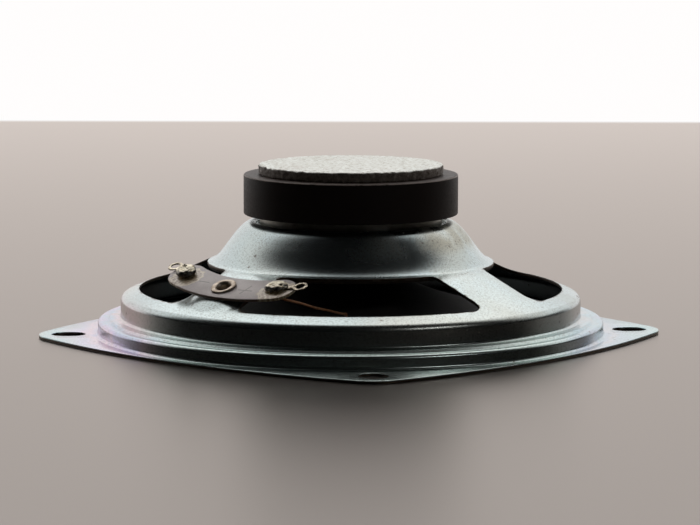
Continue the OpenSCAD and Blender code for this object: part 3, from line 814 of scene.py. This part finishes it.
def pressed_pad(reach):
    """The pad under the board: level with the board, it runs out softly into the arm."""
    shape = spun([(i * reach / 24, 0.0) for i in range(25)] + [(reach, -0.4), (0.0, -0.4)], 120)
    for vert in shape.verts:
        low = vert.co.z
        away = min(max((vert.co.xy.length - 3.4) / (reach - 3.4), 0.0), 1.0)
        share = 1 - away * away * (3 - 2 * away)
        spot = ON_ARM @ Vector((vert.co.x, vert.co.y, BOSS_H))
        arm = arm_height(spot.xy.length)
        spot.z = arm - 0.4 if low < -0.1 else arm + share * (spot.z - arm) - 0.03 * (1 - share)
        vert.co = spot
    return shape


def build_basket():
    foot_r = RING_R + 0.9
    slots = [slot_outline(a) for a in QUARTERS]
    flange = plate(flange_outline(), [circle((0, 0), foot_r + 0.1, 300)] + slots, STEEL)
    body = carved(spun(sheet(basket_profile(), STEEL), 300), flange, "UNION")
    hollow = spun([(0.0, -3.0), (4.6, -3.0), (3.4, BOSS_H - STEEL), (0.0, BOSS_H - STEEL)], 64)
    hole = spun([(0.0, -3.0), (BARREL_R + FIT, -3.0), (BARREL_R + FIT, 3.0), (0.0, 3.0)], 64)
    for made in (hollow, hole):
        bmesh.ops.transform(made, matrix=ON_ARM, verts=made.verts)
    pad = pressed_pad(9.6)
    body = carved(body, pad, "UNION")
    cutters = [plate(window_outline(a + WINDOW_TURN), [], SEAT_Z - LEDGE_Z - 1, LEDGE_Z + 1)
               for a in QUARTERS]
    body = carved(body, joined(cutters), "DIFFERENCE")
    for cutter in (hollow, hole):
        body = carved(body, cutter, "DIFFERENCE")
    bmesh.ops.remove_doubles(body, verts=body.verts, dist=0.004)
    ease_edges(body, 0.16)
    rigid_piece("pressed_basket", body, "frame", ZINC, ["basket"])


build_basket()


# ---- motor ----

def build_motor():
    chip = 0.35
    ring = ([(MAGNET_HOLE_R, MAGNET_Z)]
            + arc((MAGNET_R - chip, MAGNET_Z + chip), chip, -90, 0, 4)
            + arc((MAGNET_R - chip, YOKE_Z - chip), chip, 0, 90, 4)
            + [(26.0, YOKE_Z), (24.5, YOKE_Z), (MAGNET_HOLE_R, YOKE_Z)])
    rigid_piece("ferrite_ring", spun(ring, 256), "frame", FERRITE, ["magnet_ring"])

    gap_r = 10.8
    front = ([(gap_r, SEAT_Z)] + arc((PLATE_R - 0.3, SEAT_Z + 0.3), 0.3, -90, 0, 3)
             + arc((PLATE_R - 0.3, MAGNET_Z - 0.3), 0.3, 0, 90, 3) + [(gap_r, MAGNET_Z)])
    rigid_piece("front_plate_skin", spun(front, 192), "frame", PLATE_STEEL,
                ["front_plate"])

    tip, edge, root, top = SEAT_Z - 1, 0.6, 1.5, YOKE_Z + YOKE_T
    rings = [YOKE_R - edge - i * 0.55 for i in range(1, 42)]
    yoke = ([(0, tip), (POLE_R - 0.8, tip), (POLE_R, tip + 0.8), (POLE_R, YOKE_Z - root)]
            + arc((POLE_R + root, YOKE_Z - root), root, 180, 90)
            + [(YOKE_R - 0.2, YOKE_Z), (YOKE_R, YOKE_Z + 0.2)]
            + [(YOKE_R, YOKE_Z + 0.2 + i * 0.36) for i in range(1, 5)]
            + arc((YOKE_R - edge, top - edge), edge, 0, 90, 6)
            + [(r, top) for r in rings if r > 0.3] + [(0, top)])
    shape = spun(yoke, 320)

    def outside(spot):
        return 1.0 if spot.z > YOKE_Z + 0.4 else 0.0

    def lip(spot):
        return max(0.0, 1 - abs(spot.xy.length - YOKE_R + 0.3) / 1.3) * outside(spot)

    uneven(shape, 0.9, 0.09, 3.0, outside)
    uneven(shape, 1.6, 0.15, 7.0, lip)
    for vert in shape.verts:
        vert.co.z = min(vert.co.z, top)
    rigid_piece("yoke_skin", shape, "frame", CAST_PLATE, ["t_yoke"], sharp=60.0)


build_motor()


# ---- terminals ----

def board_outline():
    centre = (0, BOARD_BEND_R)
    low, high = 270 - BOARD_HALF, 270 + BOARD_HALF
    half = BOARD_W / 2
    one, other = (polar(BOARD_BEND_R, angle, centre) for angle in (low, high))
    return thinned(arc(centre, BOARD_BEND_R + half, low, high, 60)
                   + arc(other, half, high, high + 180, 24)[1:]
                   + arc(centre, BOARD_BEND_R - half, high, low, 60)[1:]
                   + arc(one, half, low - 180, low, 24)[1:-1])


def build_board():
    centres = [at_lug(side).translation.xy for side in (-1, 1)]
    shape = plate(board_outline(), [circle((0, 0), BARREL_R + FIT)]
                  + [circle(c, RIVET_R + FIT, 24) for c in centres], BOARD_T, BOARD_Z)
    ease_edges(shape, 0.1)
    flat = shape.loops.layers.uv.new("board")
    for face in shape.faces:
        for loop in face.loops:
            loop[flat].uv = loop.vert.co.xy
    rigid_piece("fibre_terminal_board", shape, "frame", FIBRE,
                ["terminal_board"], ON_ARM)


def build_eyelet():
    inner = BARREL_R - 0.45
    top = BOARD_TOP + FIT
    roll = [(inner, BOSS_H - STEEL - 0.5), (BARREL_R + 0.7, BOSS_H - STEEL - 0.5),
            (BARREL_R + 0.7, BOSS_H - STEEL - 0.1), (BARREL_R, BOSS_H - STEEL - FIT),
            (BARREL_R, top), (EYELET_R - 0.15, top)]
    roll += arc((EYELET_R - 0.24, top + 0.2), 0.24, -60, 90, 8)
    roll += [(inner + 0.95, top + 0.46), (inner + 0.55, top + 0.36), (inner + 0.2, top + 0.08),
             (inner, BOARD_TOP - 0.5)]
    shape = spun(roll, 64)
    uneven(shape, 2.2, 0.13, 1.0, lambda spot: 1.0 if spot.z > BOARD_TOP else 0.0)
    rigid_piece("rolled_eyelet", shape, "frame", EYELET, ["board_eyelet"],
                ON_ARM, 50.0)


def lug_outline(side):
    half = NECK_W / 2
    at_pad = math.degrees(math.asin(half / PAD_R))
    at_eye = math.degrees(math.asin(half / LUG_EYE_R))
    points = (arc((LUG_REACH, 0), LUG_EYE_R, -180 + at_eye, 180 - at_eye, 40)
              + arc((0, 0), PAD_R, at_pad, 360 - at_pad, 40))
    return [Vector((side * p.x, p.y)) for p in points]


def build_lug(side, word):
    holes = [circle((0, 0), RIVET_R + FIT, 24), circle((side * LUG_REACH, 0), LUG_HOLE_R, 32)]
    shape = plate(lug_outline(side), holes, LUG_T, BOARD_TOP + FIT)
    ease_edges(shape, 0.13, 3)
    uneven(shape, 1.1, 0.07, side * 4.0)
    rigid_piece("lug_" + word, shape, "frame", TINNED, ["solder_lug_" + word],
                ON_ARM @ at_lug(side), 60.0)


def build_mound(side, word, long, wide, high):
    """A cold mound of solder; the one at the minus lug ends in a holed stub of wire."""
    base = BOARD_TOP + FIT
    roof = curve([(1.0, 0.12), (0.98, 0.72), (0.62, 1.0), (0.0, 1.0)], 20)
    shape = spun([(0, 0.0), (0.97, 0.0)] + [(p.x, p.y) for p in roof], 56)
    bmesh.ops.scale(shape, vec=(long, wide, high), verts=shape.verts)
    uneven(shape, 1.9, 0.34, side * 2.3)
    uneven(shape, 0.7, 0.10, side * 5.1)
    for vert in shape.verts:
        vert.co.z = max(vert.co.z, 0.0) + LUG_T + FIT
    if side < 0:
        stub = spun([(0.26, 0.0), (0.62, 0.0)] + arc((0.42, 1.2), 0.16, 0, 180, 6)
                    + [(0.26, 0.6)], 24)
        lean = Matrix.Translation((-0.5, 0.7, high * 0.62)) @ Matrix.Rotation(0.35, 4, "X")
        bmesh.ops.transform(stub, matrix=lean, verts=stub.verts)
        uneven(stub, 0.8, 0.08, 9.0)
        shape = joined([shape, stub])
    rigid_piece("solder_mound_" + word, shape, "frame", SOLDER,
                ["solder_joint_" + word],
                ON_ARM @ at_lug(side) @ Matrix.Translation((0, 0, base)), 70.0)


build_board()
build_eyelet()
for lug in SIDES:
    build_lug(*lug)
build_mound(1, "plus", 3.0, 2.3, 1.25)
build_mound(-1, "minus", 2.7, 2.5, 1.7)


# ---- cone and suspension ----

CONE_OUT_R = FORMER_R + FIT + CONE_T / 2
BODY_IN = Vector((CONE_OUT_R + 0.8, NECK_Z - 0.7))
BODY_OUT = Vector((CONE_R - 2.2, CONE_EDGE_Z))
BODY = [BODY_IN, BODY_IN + Vector((11, -6.4)), BODY_OUT + Vector((-14, 3)), BODY_OUT]
ANCHOR_T = 0.55
ANCHOR = cubic(BODY, ANCHOR_T)
ANCHOR_WAY = cubic_way(BODY, ANCHOR_T)
ANCHOR_SPREAD = 38.7


def build_cone():
    path = ([Vector((CONE_OUT_R, NECK_Z + 0.9)), Vector((CONE_OUT_R, NECK_Z))]
            + curve(BODY, 40) + [Vector((CONE_R, CONE_EDGE_Z))])
    rigid_piece("paper_cone", spun(felt(path, CONE_T), 240), "moving_system",
                CONE_PAPER, ["cone"])


def height_of(path, r):
    """Height of a falling path at a radius."""
    for one, two in zip(path, path[1:]):
        if one.x <= r <= two.x:
            return one.y + (two.y - one.y) * (r - one.x) / (two.x - one.x)
    return path[-1].y


def build_cap():
    thick = 0.4
    edge_z = height_of(curve(BODY, 40), CAP_R) - CONE_T / 2 - FIT - 0.45
    bend = (CAP_R ** 2 + CAP_RISE ** 2) / (2 * CAP_RISE)
    half = math.degrees(math.asin(CAP_R / bend))
    centre = (0, edge_z - CAP_RISE + bend)
    profile = (arc(centre, bend, -90, -90 + half, 24)
               + arc(centre, bend - thick, -90 + half, -90, 24))
    rigid_piece("paper_dust_cap", spun(profile, 160), "moving_system", CAP_PAPER,
                ["dust_cap"], sharp=50.0)


def rolls(start, stop, waves, height, steps, fade):
    """The section of a rolled suspension; the rolls fade out at both ends."""
    points = []
    for i in range(steps * waves + 1):
        s = i / (steps * waves)
        wave = math.sin(math.tau * waves * s) * min(1, fade * s, fade * (1 - s))
        points.append((start[0] + (stop[0] - start[0]) * s,
                       start[1] + (stop[1] - start[1]) * s - height * wave))
    return points


def suspension(name, path, cloth_t, steps, finish, cad_name, start, stop):
    """Cloth whose rolls run from the cone at their start to the frame at their stop."""
    def share(r):
        s = min(1.0, max(0.0, (stop[0] - r) / (stop[0] - start[0])))
        return s * s * (3 - 2 * s)

    soft_piece(name, spun(felt(path, cloth_t), steps), finish, [cad_name],
               (stop[0], 0, start[1]), (start[0], 0, start[1]), share)


def build_surround():
    cloth_t = 0.35
    out_z = RING_Z - STEEL - cloth_t / 2
    in_z = CONE_EDGE_Z - CONE_T / 2 - FIT - cloth_t / 2
    start, stop = (CONE_R + 0.4, in_z), (RIM_R + 0.9, out_z)
    path = ([(CONE_R - 1.6, in_z), (CONE_R, in_z)] + rolls(start, stop, 3, 0.7, 16, 4)
            + [(LEDGE_R - 0.6, out_z), (RING_R - STEEL - 0.4, out_z)])
    suspension("doped_surround", path, cloth_t, 240, DOPED_CLOTH, "surround",
               start, stop)


def build_spider():
    cloth_t = 0.4
    z = SHELF_Z - STEEL - cloth_t / 2
    start, stop = (CONE_OUT_R + 2.2, z), (SHELF_R - 3.4, z)
    path = ([(CONE_OUT_R + FIT, z + 1.1), (CONE_OUT_R + FIT, z + 0.3), (CONE_OUT_R + 0.4, z)]
            + rolls(start, stop, 6, 0.8, 14, 8) + [(WINDOW_IN_R - 0.2, z)])
    suspension("corrugated_spider", path, cloth_t, 200, SPIDER_CLOTH, "spider",
               start, stop)


def build_gasket():
    top = RING_Z - STEEL - 0.35 - FIT
    out_r, in_r, low = RING_R - STEEL - 0.4, RIM_R + 1.2, 0.2
    joint = math.degrees(0.5 / 62)  # half the gap between two quarters
    quarters = []
    for a in QUARTERS:
        shape = spun([(in_r, low), (out_r, low), (out_r, top), (in_r, top)], 60,
                     90 - 2 * joint)
        bmesh.ops.rotate(shape, verts=shape.verts, cent=(0, 0, 0),
                         matrix=turned(a + joint, "Z", 3))
        ease_edges(shape, 0.15)
        quarters.append(shape)
    rigid_piece("card_gasket", joined(quarters), "frame", GASKET_CARD,
                ["front_gasket"])


build_cone()
build_cap()
build_surround()
build_spider()
build_gasket()


# ---- tinsel leads ----

LEAD_RUN = [(-20.2, -41.4, 15.3), (-18.7, -41.2, 14.75), (-15.4, -40.2, 13.8),
            (-11.9, -38.6, 12.5), (-8.5, -36.6, 11.5), (-5.4, -34.4, 10.45), (-4.1, -32.8, 10.0)]


def across_arm(point):
    """The same place on the other side of the board's arm."""
    turn = turned(BOARD_AZ, "Z", 3)
    flip = Matrix.Diagonal((1, -1, 1))
    return turn @ flip @ turn.inverted() @ Vector(point)


def cone_place(side, height):
    turn = turned(BOARD_AZ + side * ANCHOR_SPREAD, "Z", 3)
    return turn @ Vector((ANCHOR.x - height * ANCHOR_WAY.y, 0,
                          ANCHOR.y + height * ANCHOR_WAY.x))


def lead_points(side):
    lug = ON_ARM @ at_lug(side)
    run = [Vector(p) if side > 0 else across_arm(p) for p in LEAD_RUN]
    return ([lug @ Vector((0, 0, BOARD_Z - h)) for h in (0.4 + FIT, 1.2)] + run
            + [cone_place(side, h) for h in (1.7, 0.9)])


def smooth_line(points, steps):
    line = []
    last = len(points) - 1
    for i in range(last):
        a, b = points[max(i - 1, 0)], points[i]
        c, d = points[i + 1], points[min(i + 2, last)]
        for k in range(steps):
            t = k / steps
            line.append(b + (c - a) * t / 2 + (a * 2 - b * 5 + c * 4 - d) * t * t / 2
                        + (b * 3 - a - c * 3 + d) * t ** 3 / 2)
    return line + [points[last]]


def build_lead(side, word):
    """Three strands laid round each other along the lead's own route."""
    line = smooth_line(lead_points(side), 16)
    strand_r, lay_r, pitch = 0.17, 0.18, 1.7
    strands = []
    for strand in range(3):
        turn = strand * math.tau / 3
        points = []
        for i, (across, up) in enumerate(crossings(line)):
            if i:
                turn += (line[i] - line[i - 1]).length / pitch * math.tau
            points.append(line[i] + (across * math.cos(turn) + up * math.sin(turn)) * lay_r)
        strands.append(tube(points, strand_r, 7))
    soft_piece("braided_lead_" + word, joined(strands), BRAID,
               ["tinsel_lead_" + word], line[0], line[-1])


for lead in SIDES:
    build_lead(*lead)


# ---- CAD nodes that keep their own shape ----

for cad_name, finish in (("staked_rivets", PLATE_STEEL), ("lug_rivets", TINNED),
                         ("coil_former", KRAFT), ("coil_winding", WIRE),
                         ("cone_eyelets", BRASS), ("cone_solder_joints", SOLDER),
                         ("coil_tails", WIRE)):
    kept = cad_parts[cad_name]
    kept.data.materials.clear()
    kept.data.materials.append(finish)


# ---- table, light and camera ----

HEADING = Vector((0.0743, 0.9972, 0.0))
RIGHTWARD = Vector((0.9972, -0.0743, 0.0))
TABLE_FAR = 0.655


def table_top():
    """Pale and softly shiny, less so towards the camera; its far edge runs out into the white."""
    made = bpy.data.materials.new("table_top")
    made.use_nodes = True
    tree = made.node_tree
    tree.nodes.remove(tree.nodes["Principled BSDF"])
    depth = dot(tree, node(tree, "TexCoord").outputs["Object"], HEADING)
    ray = node(tree, "LightPath").outputs
    # painted shade: to glossy rays the table is darker than to other rays, so the metal's walls
    # that face it show a dark reflection
    pale = mixed(tree, ray["Is Glossy Ray"], (0.10, 0.09, 0.083), (0.02, 0.018, 0.017))
    flat = node(tree, "BsdfDiffuse", {"Color": pale}).outputs[0]
    shine = node(tree, "BsdfGlossy", {"Color": (1.0, 0.91, 0.85), "Roughness": 0.34},
                 distribution="BECKMANN").outputs[0]
    share = calc(tree, "ADD", times(tree, depth, 0.39), 0.447, clamp=True)
    top = node(tree, "MixShader", {0: share, 1: flat, 2: shine}).outputs[0]
    white = node(tree, "Emission", {"Color": (1.0, 1.0, 1.0), "Strength": 1.0}).outputs[0]
    fade = times(tree, between(tree, depth, TABLE_FAR - 0.016, TABLE_FAR - 0.001),
                 ray["Is Camera Ray"])
    out = node(tree, "MixShader", {0: fade, 1: top, 2: white}).outputs[0]
    tree.links.new(out, tree.nodes["Material Output"].inputs["Surface"])
    return made


def build_table():
    side, below = 2.2, -0.0001
    shape = bmesh.new()
    bmesh.ops.create_grid(shape, x_segments=1, y_segments=1, size=1.0)
    for vert in shape.verts:
        vert.co = Vector((vert.co.x * side, TABLE_FAR if vert.co.y > 0 else -side, below))
    turn = Matrix.Rotation(math.atan2(-HEADING.x, HEADING.y), 4, "Z")
    bmesh.ops.transform(shape, matrix=turn, verts=shape.verts)
    mesh = mesh_of("table", shape)
    mesh.materials.append(table_top())
    in_scene("table", mesh)


def light_room():
    """White all round for the camera, and for all else a white wall behind the object."""
    world = bpy.data.worlds.new("room")
    world.use_nodes = True
    bpy.context.scene.world = world
    tree = world.node_tree
    tree.nodes.clear()
    way = node(tree, "TexCoord").outputs["Generated"]
    wall = between(tree, dot(tree, way, HEADING), 0.04, 0.46, 0.004, 1.0)
    # near the table the white wall ends at the sides, sooner on the right
    aside = dot(tree, way, RIGHTWARD)
    narrow = times(tree, between(tree, aside, -0.95, -0.76), between(tree, aside, 0.78, 0.58))
    high = between(tree, parts_of(tree, way)["Z"], 0.15, 0.35)
    strength = largest(tree, times(tree, wall, largest(tree, narrow, high)),
                       node(tree, "LightPath").outputs["Is Camera Ray"])
    light = node(tree, "Background", {"Color": (1.0, 0.985, 0.98), "Strength": strength})
    out = node(tree, "OutputWorld")
    tree.links.new(light.outputs[0], out.inputs["Surface"])


def lamp(name, spot, wide, high, power):
    """A rectangular lamp that points at the object."""
    data = bpy.data.lights.new(name, "AREA")
    data.shape, data.size, data.size_y, data.energy = "RECTANGLE", wide, high, power
    made = in_scene(name, data)
    made.location = spot
    made.rotation_euler = (-Vector(spot)).to_track_quat("-Z", "Y").to_euler()


def set_camera():
    data = bpy.data.cameras.new("camera")
    data.sensor_width, data.lens = 36.0, 177.9
    data.clip_start, data.clip_end = 0.05, 20.0
    camera = in_scene("camera", data)
    camera.matrix_world = (Matrix.Translation((-0.06596, -0.88310, 0.13100))
                           @ turned(-4.26, "Z") @ turned(82.777, "X")
                           @ Matrix.Rotation(0.00204, 4, "Z"))
    bpy.context.scene.camera = camera


build_table()
light_room()
lamp("softbox_back", (0.05, 0.75, 0.85), 0.9, 0.9, 1.0)
lamp("strip_front_right", (0.87, -1.0, 0.80), 0.6, 0.12, 0.8)
set_camera()
bpy.context.scene.view_settings.view_transform = "Standard"
